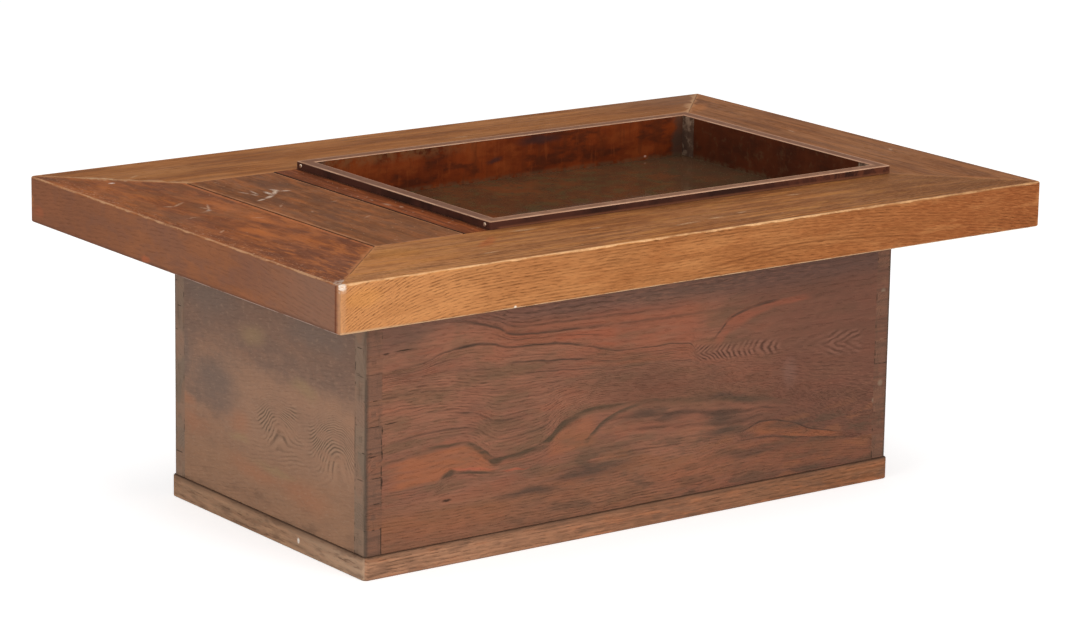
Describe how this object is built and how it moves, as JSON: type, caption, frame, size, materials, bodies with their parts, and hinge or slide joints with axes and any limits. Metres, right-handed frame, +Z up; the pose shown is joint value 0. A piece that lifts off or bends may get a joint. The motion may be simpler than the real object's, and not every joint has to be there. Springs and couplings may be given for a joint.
{
  "type": "hibachi table",
  "caption": "Low rectangular hearth table: finger-jointed box, wide mitred top, lift-off end lid over a compartment, shallow lift-out copper liner with raised rim.",
  "frame": {"origin": "centre of the underside of the base frame, on the floor", "axes": "+Z up, X along the length with the lid at -X, front at -Y"},
  "size_m": [0.91, 0.6, 0.3537],
  "materials": {
    "top_wood": "oiled and worn, open grain, pale arrises",
    "lid_wood": "oiled and worn, scratched",
    "box_wood": "dark stained and oiled, bold figure",
    "base_wood": "oiled and worn",
    "inner_wood": "planed and unfinished, aged",
    "peg_wood": "split hardwood pegs",
    "liner_copper": "heat-darkened copper sheet with verdigris at the floor line",
    "rivet_copper": "worn bright"
  },
  "bodies": {
    "table": {"top_front_board": "top_wood", "top_back_board": "top_wood", "top_left_board": "top_wood", "top_right_board": "top_wood", "cross_rail": "lid_wood", "top_keys": "peg_wood", "front_wall": "box_wood", "back_wall": "box_wood", "left_wall": "box_wood", "right_wall": "box_wood", "corner_pegs": "peg_wood", "frame_pegs": "peg_wood", "partition": "inner_wood", "bearer_1": "inner_wood", "bearer_2": "inner_wood", "bearer_3": "inner_wood", "hearth_board_1": "inner_wood", "hearth_board_2": "inner_wood", "hearth_board_3": "inner_wood", "bottom_board_1": "inner_wood", "bottom_board_2": "inner_wood", "bottom_board_3": "inner_wood", "bottom_board_4": "inner_wood", "bottom_board_5": "inner_wood", "base_front_rail": "base_wood", "base_back_rail": "base_wood", "base_left_rail": "base_wood", "base_right_rail": "base_wood", "base_keys": "peg_wood", "base_pegs": "peg_wood"},
    "lid": {"lid_board": "lid_wood", "lid_batten_front": "inner_wood", "lid_batten_back": "inner_wood", "lid_pegs": "peg_wood"},
    "liner": {"liner": "liner_copper", "liner_flaps": "liner_copper", "liner_rivets": "rivet_copper"}
  },
  "joints": [
    {"name": "lid_lift", "type": "slide", "parent": "table", "child": "lid", "axis": [0, 0, 1], "range_m": [0, 0.15]},
    {"name": "liner_lift", "type": "slide", "parent": "table", "child": "liner", "axis": [0, 0, 1], "range_m": [0, 0.15]}
  ]
}
